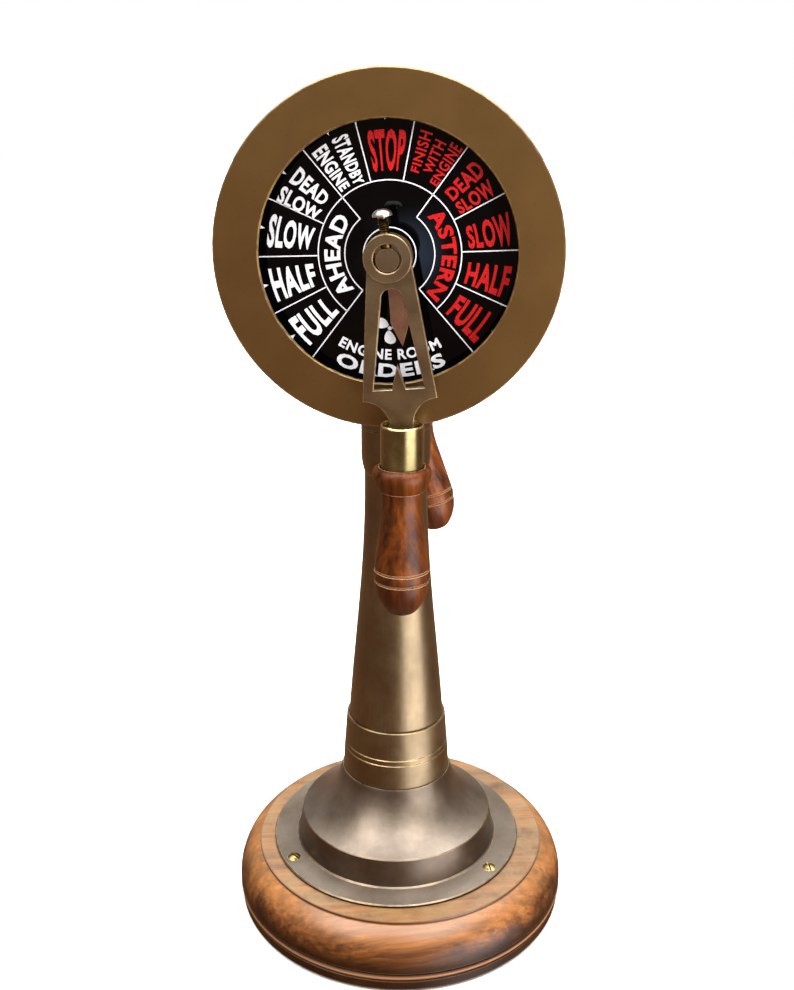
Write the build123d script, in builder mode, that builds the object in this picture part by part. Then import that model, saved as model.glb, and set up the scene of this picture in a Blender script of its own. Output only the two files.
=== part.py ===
"""Tabletop ship's engine telegraph: brass head on a flared column, wooden base, two hand levers.

Millimetres, +Z up, origin at the centre of the underside. The front dial faces -Y, the rear
dial faces +Y, and both levers are on one spindle along Y, just right of the head's centre.
"""
from build123d import *
import os

os.makedirs("parts", exist_ok=True)

# ---- driving dimensions ------------------------------------------------------------------
HUB_HEIGHT = 418.2          # spindle axis above the table
HUB_SHIFT = 2.0             # the spindle runs this far right of the head's centre
HEAD_RADIUS = 90.1          # outside of the bezels
FACE_DEPTH = 56.0           # centre plane of the head to a bezel's face
OPENING_RADIUS = 66.3       # clear opening of a bezel
DIAL_DEPTH = 43.1           # centre plane to a dial's printed face
DIAL_THICKNESS = 2.0
DRUM_RADIUS = 87.4
DRUM_WALL = 2.2
BEARING_PLATE_THICKNESS = 3.0

SPINDLE_RADIUS = 6.25
SPINDLE_END = 75.6          # centre plane to an end of the spindle
RUNNING_CLEARANCE = 0.05
BUSH_NOSE_RADIUS = 8.0
BUSH_NOSE_END = 52.7

PLATE_BACK = 65.8           # centre plane to the back of a lever's plate
PLATE_THICKNESS = 4.4
BOSS_RADIUS = 12.1
BOSS_END = 76.6
BORE_RADIUS = 7.05          # lever bore, larger than the spindle: a set screw takes up the slack
BORE_OFFSET = 0.78          # so the bore's centre is this far above the spindle's
TAB_HALF_WIDTH = 6.2
TAB_END = 93.4              # these lever sizes are measured down the lever from its bore
FERRULE_TOP = 86.3
FERRULE_RADIUS = 11.45
GRIP_RECESS = 114.2
GRIP_END = 193.1
TANG_RADIUS = 3.0
SCREW_FLAT = 0.6            # depth of the flat on the spindle under a set screw
SCREW_LEAN = 2.4            # lean of a lever's set screw

POINTER_DEPTH = 46.4
POINTER_ANGLE = 6.6
POINTER_LENGTH = 48.2

BASE_RADIUS = 104.2
BASE_SHIFT = 2.7            # the wood was turned this far right of the column's axis
BASE_TOP = 38.8
FELT_THICKNESS = 1.2
FLANGE_RADIUS = 79.5
FLANGE_TOP = 40.8
FOOT_TOP = 89.7
FOOT_BORE = 33.5
SOCKET_SHELF = 81.0
SOCKET_TOP = 127.3
COLUMN_SEAT = 105.0
COLUMN_BASE_RADIUS = 29.5
COLUMN_TOP = 287.0
NECK_RADIUS = 20.4
NECK_TOP = 314.4
FLANGE_SCREW_CIRCLE = 72.5
FLANGE_SCREW_ANGLES = (-148.0, -32.0, 90.0)   # about +Z from +X

ROD_RADIUS = 4.0
ROD_HOLE = 4.3
NUT_ACROSS_FLATS = 13.0
NUT_HEIGHT = 6.5

FRONT = 1
REAR = -1
SIDES = {"front": FRONT, "rear": REAR}
HEAD_AXIS = Axis((0, 0, HUB_HEIGHT), (0, 1, 0))
HUB_AXIS = Axis((HUB_SHIFT, 0, HUB_HEIGHT), (0, 1, 0))
WOOD_AXIS = Axis((BASE_SHIFT, 0, 0), (0, 0, 1))
# How far a lever hangs to the right of straight down, and how its grip is bent from that,
# both as seen by a viewer who faces that lever.
LEVER_ANGLES = {FRONT: 4.6, REAR: 1.9}
GRIP_BENDS = {FRONT: -4.6, REAR: -14.2}
GRIP_SLIDES = {FRONT: 0.0, REAR: 2.3}         # the rear grip sits further down its tab
PLATE_FACE = DIAL_DEPTH - DIAL_THICKNESS      # outer face of a bearing plate
PLATE_INSIDE = PLATE_FACE - BEARING_PLATE_THICKNESS


# ---- helpers -----------------------------------------------------------------------------
def save(piece, name):
    """Label a finished piece and write it to its own file."""
    piece.part.label = name
    export_step(piece.part, f"parts/{name}.step")


def section_plane(side, axis=HUB_AXIS):
    """Section through an axis along Y: X is the radius upwards, Y the depth outwards."""
    return Plane(origin=axis.position, x_dir=(0, 0, 1), z_dir=(side, 0, 0))


def facing_plane(side, depth):
    """Plane across the hub axis, seen from outside with X to the right and Y up."""
    return Plane(origin=(HUB_SHIFT, -side * depth, HUB_HEIGHT), x_dir=(side, 0, 0), z_dir=(0, -side, 0))


def spun(plane, angle):
    """The same plane turned in itself, anticlockwise as seen from outside."""
    return Plane(plane.location * Rotation(0, 0, angle))


def lever_plane(side, depth):
    """Plane of a lever as it hangs, centred in its bore, with -Y down the lever."""
    hanging = spun(facing_plane(side, depth), LEVER_ANGLES[side])
    centre = hanging.from_local_coords(Vector(0, BORE_OFFSET, 0))
    return Plane(origin=centre, x_dir=hanging.x_dir, z_dir=hanging.z_dir)


def grip_plane(side):
    """Plane through a grip's own axis: X is the radius, -Y runs down the grip from its top."""
    plate = lever_plane(side, PLATE_BACK + PLATE_THICKNESS / 2)
    top = plate.from_local_coords(Vector(0, -FERRULE_TOP - GRIP_SLIDES[side], 0))
    return spun(Plane(origin=top, x_dir=plate.x_dir, z_dir=plate.z_dir), GRIP_BENDS[side])


def turn(points, plane, axis, mode=Mode.ADD):
    """Turn a closed outline of straight lines, drawn on a plane, about an axis."""
    with BuildSketch(plane) as outline:
        with BuildLine():
            Polyline(*points, close=True)
        make_face()
    revolve(outline.sketch, axis=axis, mode=mode)


def turn_ring(plane, axis, inner, outer, start, end, mode=Mode.ADD):
    """Turn a plain ring between two radii and two places along the plane's Y."""
    turn([(inner, start), (outer, start), (outer, end), (inner, end)], plane, axis, mode)


# ---- base --------------------------------------------------------------------------------
NUT_POCKET_TOP = 13.0
NUT_POCKET_RADIUS = 16.0
WASHER_RADIUS = 12.0
WASHER_THICKNESS = 1.6
FELT_RADIUS = 101.6
OVOLO_TOP = (92.4, 37.4)
OVOLO_MIDDLE = (101.3, 28.4)
OVOLO_BOTTOM = (105.0, 13.6)
STEP_RADIUS = 91.6
BEAD_QUIRK_RADIUS = 103.4   # bottom of the grooves either side of the bead
BEAD_RADIUS = 105.2

with BuildPart() as felt_pad:
    with Locations(WOOD_AXIS.position):
        Cylinder(FELT_RADIUS, FELT_THICKNESS, align=(Align.CENTER, Align.CENTER, Align.MIN))
save(felt_pad, "felt_pad")

with BuildPart() as wooden_base:
    with BuildSketch(Plane(origin=WOOD_AXIS.position, x_dir=(1, 0, 0), z_dir=(0, -1, 0))):
        with BuildLine():
            Polyline(
                (0, BASE_TOP),
                (STEP_RADIUS, BASE_TOP),
                (STEP_RADIUS + 0.1, OVOLO_TOP[1]),
                OVOLO_TOP,
            )
            ThreePointArc(OVOLO_TOP, OVOLO_MIDDLE, OVOLO_BOTTOM)
            Polyline(OVOLO_BOTTOM, (BEAD_QUIRK_RADIUS, 13.2), (BEAD_QUIRK_RADIUS, 12.6), (BASE_RADIUS, 12.2))
            ThreePointArc((BASE_RADIUS, 12.2), (BEAD_RADIUS, 10.6), (BASE_RADIUS, 9.0))
            Polyline(
                (BASE_RADIUS, 9.0),
                (BEAD_QUIRK_RADIUS, 8.6),
                (BEAD_QUIRK_RADIUS, 8.0),
                (BASE_RADIUS, 7.4),
                (BASE_RADIUS, FELT_THICKNESS + 1.0),
                (BASE_RADIUS - 1.0, FELT_THICKNESS),
                (0, FELT_THICKNESS),
                (0, BASE_TOP),
            )
        make_face()
    revolve(axis=WOOD_AXIS)
    with BuildSketch(Plane.XY.offset(FELT_THICKNESS)):
        Circle(NUT_POCKET_RADIUS)
    extrude(amount=NUT_POCKET_TOP - FELT_THICKNESS, mode=Mode.SUBTRACT)
    with BuildSketch(Plane.XY.offset(BASE_TOP)):
        Circle(ROD_HOLE)
    extrude(amount=NUT_POCKET_TOP - BASE_TOP, mode=Mode.SUBTRACT)
    with BuildSketch(Plane.XY.offset(BASE_TOP)):
        for angle in FLANGE_SCREW_ANGLES:
            with PolarLocations(FLANGE_SCREW_CIRCLE, 1, start_angle=angle):
                Circle(2.2)
    extrude(amount=-20.0, mode=Mode.SUBTRACT)
save(wooden_base, "wooden_base")

# ---- foot: flat flange, low wall and trumpet, one spinning --------------------------------
WALL_BOTTOM = (63.8, FLANGE_TOP + 0.8)
WALL_TOP = (60.6, 57.7)
TRUMPET_BOTTOM = (60.1, 58.3)
TRUMPET_MIDDLE = (43.6, 70.6)
TRUMPET_TOP = (34.6, FOOT_TOP - 0.9)
SCREW_HEAD_RADIUS = 4.1

with BuildPart() as foot:
    with BuildSketch(Plane.XZ):
        with BuildLine():
            Polyline(
                (FOOT_BORE, FOOT_TOP - 0.3),
                (FOOT_BORE + 0.3, FOOT_TOP),
                (34.3, FOOT_TOP),
                TRUMPET_TOP,
            )
            ThreePointArc(TRUMPET_TOP, TRUMPET_MIDDLE, TRUMPET_BOTTOM)
            Polyline(
                TRUMPET_BOTTOM,
                WALL_TOP,
                WALL_BOTTOM,
                (WALL_BOTTOM[0] + 0.8, FLANGE_TOP),
                (FLANGE_RADIUS - 0.6, FLANGE_TOP),
                (FLANGE_RADIUS, FLANGE_TOP - 0.6),
                (FLANGE_RADIUS, BASE_TOP),
                (61.4, BASE_TOP),
                (58.2, 56.0),
            )
            ThreePointArc((58.2, 56.0), (41.6, 68.6), (32.0, SOCKET_SHELF - 3.0))
            Polyline(
                (32.0, SOCKET_SHELF - 3.0),
                (28.0, SOCKET_SHELF - 3.0),
                (28.0, SOCKET_SHELF),
                (FOOT_BORE, SOCKET_SHELF),
                (FOOT_BORE, FOOT_TOP - 0.3),
            )
        make_face()
    revolve(axis=Axis.Z)
    for angle in FLANGE_SCREW_ANGLES:
        with Locations(Plane.XY.offset(FLANGE_TOP)):
            with PolarLocations(FLANGE_SCREW_CIRCLE, 1, start_angle=angle):
                CounterSinkHole(2.05, SCREW_HEAD_RADIUS, counter_sink_angle=90)
save(foot, "foot")

for number, angle in enumerate(FLANGE_SCREW_ANGLES, start=1):
    with BuildPart() as foot_screw:
        spot = Vector(FLANGE_SCREW_CIRCLE, 0, FLANGE_TOP).rotate(Axis.Z, angle)
        upright = Plane(origin=spot, x_dir=(1, 0, 0), z_dir=(0, -1, 0))
        with BuildSketch(upright):
            with BuildLine():
                ThreePointArc((0, 1.1), (2.2, 0.8), (SCREW_HEAD_RADIUS, 0))
                Polyline(
                    (SCREW_HEAD_RADIUS, 0),
                    (1.9, 1.9 - SCREW_HEAD_RADIUS),
                    (1.9, -16.0),
                    (0, -19.0),
                    (0, 1.1),
                )
            make_face()
        revolve(axis=Axis(spot, (0, 0, 1)))
        with BuildSketch(Plane(origin=spot + Vector(0, 0, 1.5), x_dir=(1, 0, 0), z_dir=(0, 0, 1))):
            Rectangle(1.1, 12.0, rotation=angle + 25.0 * number)
        extrude(amount=-2.0, mode=Mode.SUBTRACT)
    save(foot_screw, f"foot_screw_{number}")

# ---- column ------------------------------------------------------------------------------
with BuildPart() as column_socket:
    with BuildSketch(Plane.XZ):
        with BuildLine():
            Polyline(
                (24.0, SOCKET_SHELF),
                (FOOT_BORE, SOCKET_SHELF),
                (FOOT_BORE, 91.3),
                (33.15, 100.3),
                (32.75, 105.2),
                (32.4, 105.6),
                (32.7, 106.0),
                (32.45, 108.7),
                (32.05, 109.1),
                (32.35, 109.5),
                (31.65, 119.6),
                (31.0, 126.8),
                (30.6, SOCKET_TOP),
                (COLUMN_BASE_RADIUS + 0.3, SOCKET_TOP),
                (COLUMN_BASE_RADIUS, SOCKET_TOP - 0.4),
                (COLUMN_BASE_RADIUS, COLUMN_SEAT),
                (24.0, COLUMN_SEAT),
                close=True,
            )
        make_face()
    revolve(axis=Axis.Z)
save(column_socket, "column_socket")

COLUMN_WALL = 2.2
with BuildPart() as column:
    with BuildSketch(Plane.XZ):
        with BuildLine():
            Polyline((COLUMN_BASE_RADIUS, COLUMN_SEAT), (COLUMN_BASE_RADIUS, SOCKET_TOP + 1.0))
            Spline(
                (COLUMN_BASE_RADIUS, SOCKET_TOP + 1.0),
                (24.7, 182.0),
                (20.4, 232.0),
                (18.9, 262.0),
                (18.6, COLUMN_TOP),
            )
            Polyline(
                (18.6, COLUMN_TOP),
                (ROD_HOLE, COLUMN_TOP),
                (ROD_HOLE, COLUMN_TOP - 4.0),
                (16.4, COLUMN_TOP - 4.0),
            )
            Spline(
                (16.4, COLUMN_TOP - 4.0),
                (16.7, 262.0),
                (18.2, 232.0),
                (22.5, 182.0),
                (COLUMN_BASE_RADIUS - COLUMN_WALL, SOCKET_TOP + 1.0),
            )
            Polyline(
                (COLUMN_BASE_RADIUS - COLUMN_WALL, SOCKET_TOP + 1.0),
                (COLUMN_BASE_RADIUS - COLUMN_WALL, COLUMN_SEAT),
                (COLUMN_BASE_RADIUS, COLUMN_SEAT),
            )
        make_face()
    revolve(axis=Axis.Z)
save(column, "column")

with BuildPart() as neck_collar:
    with BuildSketch(Plane.XZ):
        with BuildLine():
            Polyline(
                (ROD_HOLE, NECK_TOP),
                (NECK_RADIUS - 0.4, NECK_TOP),
                (NECK_RADIUS, NECK_TOP - 0.4),
                (NECK_RADIUS, 297.0),
            )
            ThreePointArc((NECK_RADIUS, 297.0), (19.8, 292.0), (18.6, COLUMN_TOP))
            Polyline((18.6, COLUMN_TOP), (ROD_HOLE, COLUMN_TOP), (ROD_HOLE, NECK_TOP))
        make_face()
    revolve(axis=Axis.Z)
save(neck_collar, "neck_collar")

with BuildPart() as head_saddle:
    with BuildSketch(Plane.XY.offset(NECK_TOP)):
        Circle(NECK_RADIUS)
        Circle(ROD_HOLE, mode=Mode.SUBTRACT)
    extrude(amount=30.0)
    turn_ring(section_plane(FRONT, HEAD_AXIS), HEAD_AXIS, 0, DRUM_RADIUS, -40, 40, mode=Mode.SUBTRACT)
    chamfer(faces().sort_by(Axis.Z)[0].outer_wire().edges(), 0.4)
save(head_saddle, "head_saddle")

# ---- head: drum, bezels, dials -----------------------------------------------------------
SKIRT_LENGTH = 10.0
BEZEL_THICKNESS = 2.6
EDGE_BREAK = 0.5
DRUM_END = FACE_DEPTH - BEZEL_THICKNESS
BEZEL_SCREW_DEPTH = FACE_DEPTH - SKIRT_LENGTH + 3.7
BEZEL_SCREW_HEAD = 2.7

with BuildPart() as head_drum:
    along = section_plane(FRONT, HEAD_AXIS)
    turn_ring(along, HEAD_AXIS, DRUM_RADIUS - DRUM_WALL, DRUM_RADIUS, -DRUM_END, DRUM_END)
    with BuildSketch(Plane.XY.offset(HUB_HEIGHT - HEAD_RADIUS)):
        Circle(ROD_HOLE)
    extrude(amount=12.0, mode=Mode.SUBTRACT)
    for side in (FRONT, REAR):
        with BuildSketch(Plane.YZ):
            with Locations((-side * BEZEL_SCREW_DEPTH, HUB_HEIGHT)):
                Circle(1.5)
        extrude(amount=HEAD_RADIUS, both=True, mode=Mode.SUBTRACT)
save(head_drum, "head_drum")

for word, side in SIDES.items():
    section = section_plane(side, HEAD_AXIS)

    with BuildPart() as bezel:
        turn(
            [
                (OPENING_RADIUS, DRUM_END),
                (DRUM_RADIUS, DRUM_END),
                (DRUM_RADIUS, FACE_DEPTH - SKIRT_LENGTH),
                (HEAD_RADIUS, FACE_DEPTH - SKIRT_LENGTH),
                (HEAD_RADIUS, FACE_DEPTH - EDGE_BREAK),
                (HEAD_RADIUS - EDGE_BREAK, FACE_DEPTH),
                (OPENING_RADIUS + EDGE_BREAK, FACE_DEPTH),
                (OPENING_RADIUS, FACE_DEPTH - EDGE_BREAK),
            ],
            section,
            HEAD_AXIS,
        )
        for outward in (1, -1):
            outside = Plane(
                origin=(outward * HEAD_RADIUS, -side * BEZEL_SCREW_DEPTH, HUB_HEIGHT),
                x_dir=(0, 1, 0),
                z_dir=(outward, 0, 0),
            )
            with Locations(outside):
                CounterBoreHole(1.5, BEZEL_SCREW_HEAD, 1.4, depth=3.0)
    save(bezel, f"{word}_bezel")

    for number, outward in enumerate((1, -1), start=1):
        with BuildPart() as bezel_screw:
            base = (outward * (HEAD_RADIUS - 1.4), -side * BEZEL_SCREW_DEPTH, HUB_HEIGHT)
            seat = Plane(origin=base, x_dir=(0, 1, 0), z_dir=(outward, 0, 0))
            with BuildSketch(seat):
                Circle(BEZEL_SCREW_HEAD)
            extrude(amount=1.2)
            with BuildSketch(seat):
                Circle(1.5)
            extrude(amount=-5.0)
            with BuildSketch(seat.offset(1.2)):
                Rectangle(0.8, 8.0, rotation=20.0 * number)
            extrude(amount=-0.7, mode=Mode.SUBTRACT)
        save(bezel_screw, f"{word}_bezel_screw_{number}")

    with BuildPart() as dial:
        turn_ring(section, HEAD_AXIS, 0, DRUM_RADIUS - DRUM_WALL - 0.5, PLATE_FACE, DIAL_DEPTH)
        turn_ring(
            section_plane(side), HUB_AXIS, 0, BUSH_NOSE_RADIUS, PLATE_FACE, DIAL_DEPTH, mode=Mode.SUBTRACT
        )
    save(dial, f"{word}_dial")

# ---- works inside the head: two bearing plates on pillars, gong and striker -----------------
PILLAR_RADIUS = 4.0
PILLAR_END_RADIUS = 2.5
PILLAR_CIRCLE = 70.0
PILLAR_ANGLES = (140.0, 220.0, 340.0)
BUSH_FLANGE_RADIUS = 12.0
BUSH_FLANGE_BACK = PLATE_INSIDE - 3.0
BUSH_BORE = SPINDLE_RADIUS + RUNNING_CLEARANCE
THRUST_COLLAR_RADIUS = 10.5
END_PLAY = 0.2
GONG_CENTRE = (28.3, 33.7)  # offsets right and up of the hub, seen from the front
GONG_RADIUS = 26.0
GONG_CROWN = 8.0            # centre plane to the gong's crown, towards the rear
GONG_THICKNESS = 2.0
GONG_DEPTH = 12.0
GONG_POST_RADIUS = 4.0
GONG_STUD_RADIUS = 3.0
GONG_STUD_END = 3.5
RIVET_RADIUS = 1.5
PIVOT = (-20.0, 58.0)
PIVOT_RADIUS = 2.0
HAMMER = (-3.15, 35.7)
HAMMER_RADIUS = 4.0
STRIKER_THICKNESS = 4.0
TAIL_END = 16.8             # end of the striker's tail, from the spindle axis
WHEEL_RADIUS = 16.0
WHEEL_ROOT_RADIUS = 12.0
WHEEL_THICKNESS = 6.0
WHEEL_TEETH = 14


def from_behind(offset):
    """Offset of a point from the hub as drawn on a plane that faces the rear."""
    return (-offset[0], offset[1])


def disc_behind(offset, radius, start, end, mode=Mode.ADD):
    """Round rod or hole along +Y, between two depths behind the centre plane."""
    with BuildSketch(facing_plane(REAR, start)) as disc:
        with Locations(from_behind(offset)):
            Circle(radius)
    extrude(disc.sketch, amount=end - start, mode=mode)


for word, side in SIDES.items():
    with BuildPart() as bearing_plate:
        with BuildSketch(facing_plane(side, PLATE_INSIDE)):
            with Locations((-side * HUB_SHIFT, 0)):
                Circle(DRUM_RADIUS - DRUM_WALL)
            Circle(BUSH_NOSE_RADIUS, mode=Mode.SUBTRACT)
            for angle in PILLAR_ANGLES:
                own_angle = angle if side == FRONT else 180.0 - angle
                with PolarLocations(PILLAR_CIRCLE, 1, start_angle=own_angle):
                    Circle(PILLAR_END_RADIUS, mode=Mode.SUBTRACT)
        extrude(amount=BEARING_PLATE_THICKNESS)
        if side == REAR:
            for place in (GONG_CENTRE, PIVOT):
                disc_behind(place, RIVET_RADIUS, PLATE_INSIDE, PLATE_FACE, mode=Mode.SUBTRACT)
    save(bearing_plate, f"{word}_bearing_plate")

    with BuildPart() as bush:
        turn(
            [
                (BUSH_BORE, BUSH_FLANGE_BACK),
                (BUSH_FLANGE_RADIUS, BUSH_FLANGE_BACK),
                (BUSH_FLANGE_RADIUS, PLATE_INSIDE),
                (BUSH_NOSE_RADIUS, PLATE_INSIDE),
                (BUSH_NOSE_RADIUS, BUSH_NOSE_END),
                (BUSH_BORE, BUSH_NOSE_END),
            ],
            section_plane(side),
            HUB_AXIS,
        )
    save(bush, f"{word}_bush")

    with BuildPart() as thrust_collar:
        collar_end = BUSH_FLANGE_BACK - END_PLAY
        turn_ring(
            section_plane(side), HUB_AXIS, SPINDLE_RADIUS, THRUST_COLLAR_RADIUS, collar_end - 4.0, collar_end
        )
    save(thrust_collar, f"{word}_thrust_collar")

for number, angle in enumerate(PILLAR_ANGLES, start=1):
    with BuildPart() as pillar:
        for radius, half_length in ((PILLAR_RADIUS, PLATE_INSIDE), (PILLAR_END_RADIUS, PLATE_FACE)):
            with BuildSketch(facing_plane(FRONT, 0)):
                with PolarLocations(PILLAR_CIRCLE, 1, start_angle=angle):
                    Circle(radius)
            extrude(amount=half_length, both=True)
    save(pillar, f"pillar_{number}")

with BuildPart() as gong_post:
    disc_behind(GONG_CENTRE, GONG_POST_RADIUS, GONG_CROWN + GONG_THICKNESS, PLATE_INSIDE)
    disc_behind(GONG_CENTRE, GONG_STUD_RADIUS, GONG_STUD_END, GONG_CROWN + GONG_THICKNESS)
    disc_behind(GONG_CENTRE, RIVET_RADIUS, PLATE_INSIDE, PLATE_FACE)
save(gong_post, "gong_post")

with BuildPart() as gong:
    crown = Vector(HUB_SHIFT + GONG_CENTRE[0], GONG_CROWN, HUB_HEIGHT + GONG_CENTRE[1])
    with BuildSketch(Plane(origin=crown, x_dir=(0, 0, 1), z_dir=(-1, 0, 0))):
        with BuildLine():
            Line((GONG_STUD_RADIUS, 0), (20.0, 0))
            ThreePointArc((20.0, 0), (24.4, 5.3), (GONG_RADIUS, GONG_DEPTH))
            Line((GONG_RADIUS, GONG_DEPTH), (GONG_RADIUS - GONG_THICKNESS, GONG_DEPTH))
            ThreePointArc((GONG_RADIUS - GONG_THICKNESS, GONG_DEPTH), (22.5, 6.0), (20.0, GONG_THICKNESS))
            Polyline((20.0, GONG_THICKNESS), (GONG_STUD_RADIUS, GONG_THICKNESS), (GONG_STUD_RADIUS, 0))
        make_face()
    revolve(axis=Axis(crown, (0, 1, 0)))
save(gong, "gong")

with BuildPart() as gong_nut:
    with BuildSketch(facing_plane(REAR, GONG_STUD_END + 0.5)):
        with Locations(from_behind(GONG_CENTRE)):
            RegularPolygon(5.5, 6, major_radius=False)
            Circle(GONG_STUD_RADIUS, mode=Mode.SUBTRACT)
    extrude(amount=GONG_CROWN - GONG_STUD_END - 0.5)
save(gong_nut, "gong_nut")

with BuildPart() as striker_pin:
    disc_behind(PIVOT, PIVOT_RADIUS, -STRIKER_THICKNESS, PLATE_INSIDE)
    disc_behind(PIVOT, RIVET_RADIUS, PLATE_INSIDE, PLATE_FACE)
    disc_behind(PIVOT, PIVOT_RADIUS + 2.0, STRIKER_THICKNESS / 2 + 0.2, PLATE_INSIDE)
save(striker_pin, "striker_pin")

with BuildPart() as striker_arm:
    pivot_point = Vector(PIVOT[0], PIVOT[1])
    tail_tip = pivot_point.normalized() * TAIL_END
    hammer_point = Vector(HAMMER[0], HAMMER[1])
    with BuildSketch(facing_plane(FRONT, -STRIKER_THICKNESS / 2)):
        for tip, width in ((tail_tip, 4.0), (hammer_point, 5.0)):
            reach = tip - pivot_point
            with Locations((pivot_point + tip) / 2):
                Rectangle(reach.length, width, rotation=reach.get_angle(Vector(1, 0, 0)) * -1)
        with Locations(pivot_point):
            Circle(5.0)
        with Locations(hammer_point):
            Circle(3.6)
            Circle(PIVOT_RADIUS, mode=Mode.SUBTRACT)
        with Locations(pivot_point):
            Circle(PIVOT_RADIUS + RUNNING_CLEARANCE, mode=Mode.SUBTRACT)
    extrude(amount=STRIKER_THICKNESS)
save(striker_arm, "striker_arm")

with BuildPart() as striker_hammer:
    disc_behind(HAMMER, HAMMER_RADIUS, STRIKER_THICKNESS / 2, GONG_CROWN + GONG_DEPTH)
    disc_behind(HAMMER, PIVOT_RADIUS, -STRIKER_THICKNESS / 2, STRIKER_THICKNESS / 2)
save(striker_hammer, "striker_hammer")

# ---- tie rod that clamps base, foot, column and head together ------------------------------
CLAMP_BLOCK_TOP = 341.0
ROD_BOTTOM = 3.5
ROD_TOP = CLAMP_BLOCK_TOP + NUT_HEIGHT + 2.5
BASE_NUT_BOTTOM = NUT_POCKET_TOP - WASHER_THICKNESS - NUT_HEIGHT

with BuildPart() as tie_rod:
    with BuildSketch(Plane.XY.offset(ROD_BOTTOM)):
        Circle(ROD_RADIUS)
    extrude(amount=ROD_TOP - ROD_BOTTOM)
save(tie_rod, "tie_rod")

with BuildPart() as base_washer:
    with BuildSketch(Plane.XY.offset(NUT_POCKET_TOP - WASHER_THICKNESS)):
        Circle(WASHER_RADIUS)
        Circle(ROD_HOLE, mode=Mode.SUBTRACT)
    extrude(amount=WASHER_THICKNESS)
save(base_washer, "base_washer")

for name, bottom in (("base_nut", BASE_NUT_BOTTOM), ("head_nut", CLAMP_BLOCK_TOP)):
    with BuildPart() as nut:
        with BuildSketch(Plane.XY.offset(bottom)):
            RegularPolygon(NUT_ACROSS_FLATS / 2, 6, major_radius=False)
            Circle(ROD_RADIUS, mode=Mode.SUBTRACT)
        extrude(amount=NUT_HEIGHT)
    save(nut, name)

with BuildPart() as clamp_block:
    turn_ring(section_plane(FRONT, HEAD_AXIS), HEAD_AXIS, 0, DRUM_RADIUS - DRUM_WALL, -20, 20)
    with BuildSketch(Plane.XY.offset(CLAMP_BLOCK_TOP - 20.0)):
        Circle(14.0)
        Circle(ROD_HOLE, mode=Mode.SUBTRACT)
    extrude(amount=20.0, mode=Mode.INTERSECT)
save(clamp_block, "clamp_block")

# ---- spindle, and a lever on each end ------------------------------------------------------
LEVER_TIP = (19.4, -72.5)   # corner of a lever's frame, seen from outside
WINDOW_TOP = -15.5
WINDOW_SHOULDER = (5.6, -21.5)
WINDOW_CORNER = (13.2, -66.8)
SPIKE_HALF_WIDTH = 3.7
SPIKE_TIP = -54.3
PLATE_EDGE = 0.3
FERRULE_LIP = 1.2
FERRULE_WALL = 1.5
GRIP_RIM = -(108.4 - FERRULE_TOP)             # these grip sizes run down from the ferrule's top
GRIP_FLOOR = -(GRIP_RECESS - FERRULE_TOP)
GRIP_BOTTOM = -(GRIP_END - FERRULE_TOP)
TANG_TOP = -(TAB_END + 1.4 - FERRULE_TOP)
TANG_BOTTOM = -75.0
SCREW_DEPTH = (PLATE_BACK + PLATE_THICKNESS + BOSS_END) / 2
SCREW_RADIUS = 2.75
FLAT_HEIGHT = SPINDLE_RADIUS - SCREW_FLAT - BORE_OFFSET     # above the bore's centre
SCREW_ROOT_RADIUS = 2.2
SCREW_HEAD_BASE = BOSS_RADIUS + 8.3
SCREW_HEAD_HEIGHT = 3.6
SCREW_HEAD_WIDTH = 5.0
THREAD_PITCH = 1.1

with BuildPart() as spindle:
    turn(
        [
            (0, -SPINDLE_END),
            (SPINDLE_RADIUS - 0.5, -SPINDLE_END),
            (SPINDLE_RADIUS, 0.5 - SPINDLE_END),
            (SPINDLE_RADIUS, SPINDLE_END - 0.5),
            (SPINDLE_RADIUS - 0.5, SPINDLE_END),
            (0, SPINDLE_END),
        ],
        section_plane(FRONT),
        HUB_AXIS,
    )
    for side in (FRONT, REAR):
        with BuildSketch(spun(lever_plane(side, PLATE_BACK), SCREW_LEAN)):
            with Locations((0, FLAT_HEIGHT)):
                Rectangle(4 * SPINDLE_RADIUS, 2 * SPINDLE_RADIUS, align=(Align.CENTER, Align.MIN))
        extrude(amount=SPINDLE_END - PLATE_BACK + 1.0, mode=Mode.SUBTRACT)
save(spindle, "spindle")

with BuildPart() as star_wheel:
    with BuildSketch(facing_plane(FRONT, -WHEEL_THICKNESS / 2)):
        with BuildLine():
            rim = []
            for tooth in range(WHEEL_TEETH):
                step = 360.0 / WHEEL_TEETH
                rim.append(Vector(WHEEL_RADIUS, 0).rotate(Axis.Z, tooth * step))
                rim.append(Vector(WHEEL_ROOT_RADIUS, 0).rotate(Axis.Z, (tooth + 0.5) * step))
            Polyline(*rim, close=True)
        make_face()
        Circle(SPINDLE_RADIUS, mode=Mode.SUBTRACT)
    extrude(amount=WHEEL_THICKNESS)
save(star_wheel, "star_wheel")

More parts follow.
